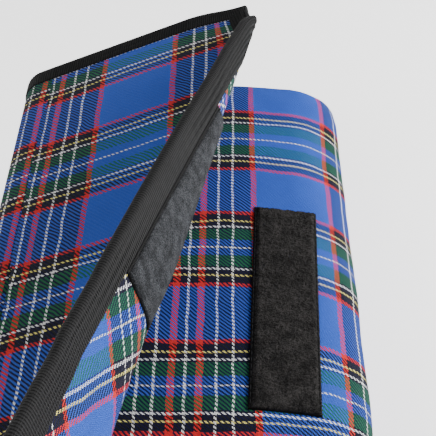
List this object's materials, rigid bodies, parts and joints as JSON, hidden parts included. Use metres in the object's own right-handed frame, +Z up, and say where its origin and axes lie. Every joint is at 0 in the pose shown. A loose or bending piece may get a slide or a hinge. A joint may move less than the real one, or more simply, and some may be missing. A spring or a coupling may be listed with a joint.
{
  "type": "folded picnic rug",
  "caption": "Folded tartan rug in a soft bundle, with a bound cover flap that lifts, uncurls and closes on a strip of loop tape.",
  "frame": {"origin": "centre of the flat underside of the cover base", "axes": "+Z up, X across the bundle from the cover spine to the loop strip, +Y along the folded length towards the far end"},
  "size_m": [0.1462, 0.2735, 0.152],
  "materials": {
    "tartan_cloth": "twill weave",
    "wadding": "soft",
    "waterproof_backing": "matte",
    "edge_binding": "ribbed",
    "hook_pile": "hooked",
    "loop_pile": "fuzzy",
    "thread": "twisted",
    "tape": "woven"
  },
  "bodies": {
    "bundle": {"cover_base_lining": "tartan_cloth", "cover_base_outer_tartan": "tartan_cloth", "cover_base_wadding": "wadding", "crown_pad": "wadding", "folded_rug_backing": "waterproof_backing", "folded_rug_tartan": "tartan_cloth", "folded_rug_wadding": "wadding", "loop_strip_pile": "loop_pile", "loop_strip_stitches": "thread", "loop_strip_tape": "tape", "outer_wrap_backing": "waterproof_backing", "outer_wrap_tartan": "tartan_cloth", "rug_edge_bindings": "edge_binding"},
    "cover_spine": {"cover_spine_bindings": "edge_binding", "cover_spine_lining": "tartan_cloth", "cover_spine_outer_tartan": "tartan_cloth", "cover_spine_wadding": "wadding"},
    "flap": {"flap_binding": "edge_binding", "flap_hook_tape": "tape", "flap_hooks": "hook_pile", "flap_lining": "tartan_cloth", "flap_outer_tartan": "tartan_cloth", "flap_wadding": "wadding"},
    "flap_curl_1": {"flap_curl_1_binding": "edge_binding", "flap_curl_1_hook_tape": "tape", "flap_curl_1_hooks": "hook_pile", "flap_curl_1_lining": "tartan_cloth", "flap_curl_1_outer_tartan": "tartan_cloth", "flap_curl_1_wadding": "wadding"},
    "flap_curl_2": {"flap_curl_2_binding": "edge_binding", "flap_curl_2_hook_tape": "tape", "flap_curl_2_hooks": "hook_pile", "flap_curl_2_lining": "tartan_cloth", "flap_curl_2_outer_tartan": "tartan_cloth", "flap_curl_2_wadding": "wadding"},
    "flap_tip": {"flap_tip_binding": "edge_binding", "flap_tip_hook_tape": "tape", "flap_tip_hooks": "hook_pile", "flap_tip_lining": "tartan_cloth", "flap_tip_outer_tartan": "tartan_cloth", "flap_tip_wadding": "wadding"}
  },
  "joints": [
    {"name": "spine_hinge", "type": "hinge", "parent": "bundle", "child": "cover_spine", "pos_m": [-0.061, 0, 0.0042], "axis": [0, -1, 0], "range_deg": [-19.9, 70.1]},
    {"name": "shoulder_hinge", "type": "hinge", "parent": "cover_spine", "child": "flap", "pos_m": [-0.08304, 0, 0.06508], "axis": [0, -1, 0], "range_deg": [-2.9, 87.1]},
    {"name": "curl_1", "type": "hinge", "parent": "flap", "child": "flap_curl_1", "pos_m": [0.02035, 0.136, 0.11202], "axis": [0.2386, 0.9659, 0.1003], "range_deg": [0, 29.2]},
    {"name": "curl_2", "type": "hinge", "parent": "flap_curl_1", "child": "flap_curl_2", "pos_m": [0.02035, 0.136, 0.11202], "axis": [0.213, 0.9748, 0.0667], "range_deg": [0, 29.2]},
    {"name": "curl_3", "type": "hinge", "parent": "flap_curl_2", "child": "flap_tip", "pos_m": [0.02035, 0.136, 0.11202], "axis": [0.2066, 0.9781, 0.0243], "range_deg": [0, 29.2]}
  ],
  "couplings": [
    {"joint": "curl_2", "follows": "curl_1", "ratio": 1},
    {"joint": "curl_3", "follows": "curl_1", "ratio": 1}
  ]
}
